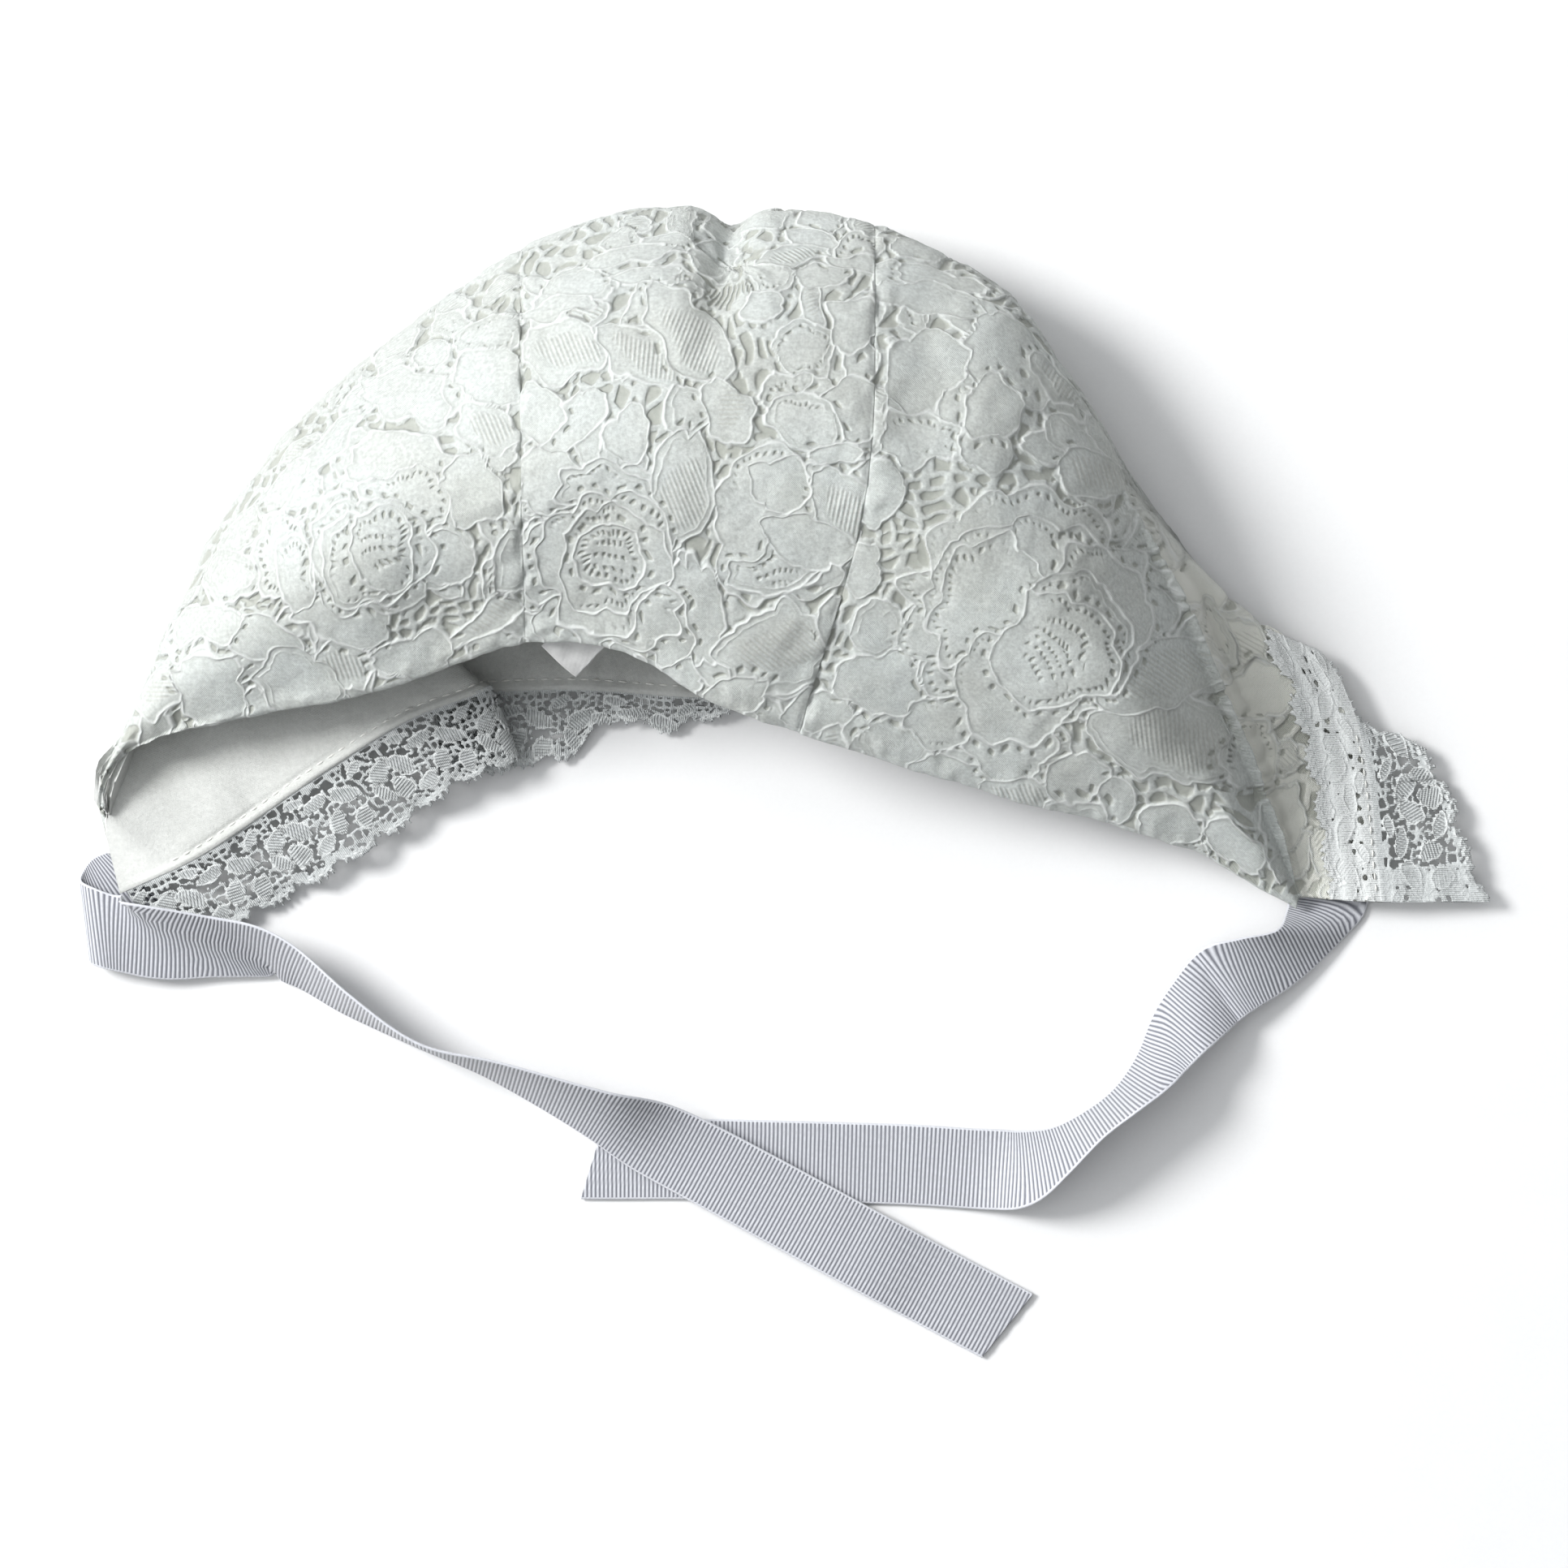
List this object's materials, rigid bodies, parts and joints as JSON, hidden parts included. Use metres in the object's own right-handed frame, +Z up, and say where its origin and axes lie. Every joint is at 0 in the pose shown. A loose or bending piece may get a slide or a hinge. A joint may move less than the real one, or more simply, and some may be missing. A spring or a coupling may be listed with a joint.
{
  "type": "baby bonnet",
  "caption": "Lined baby bonnet of corded lace lying on its brow, with an arched neck edge, scalloped lace edging and two ribbon ties.",
  "frame": {"origin": "middle of the lying bonnet's footprint, on the surface that it rests on", "axes": "+X from the left ear towards the right ear, +Y from the ties towards the crown fold, +Z up"},
  "size_m": [0.2798, 0.2272, 0.0619],
  "materials": {
    "corded_lace": "white corded floral lace, matt",
    "lining_cloth": "plain ivory cotton sateen with a soft sheen",
    "lace_edging": "white openwork edging lace, matt",
    "label_tape": "bare white woven tape",
    "grosgrain": "pale silver grey ribbed ribbon with a low sheen"
  },
  "bodies": {
    "root": {"lace_left": "corded_lace", "lace_centre": "corded_lace", "lace_right": "corded_lace", "lining": "lining_cloth", "trim_brow": "lace_edging", "trim_side": "lace_edging", "label": "label_tape", "tie_left": "grosgrain", "tie_right": "grosgrain"}
  },
  "joints": []
}
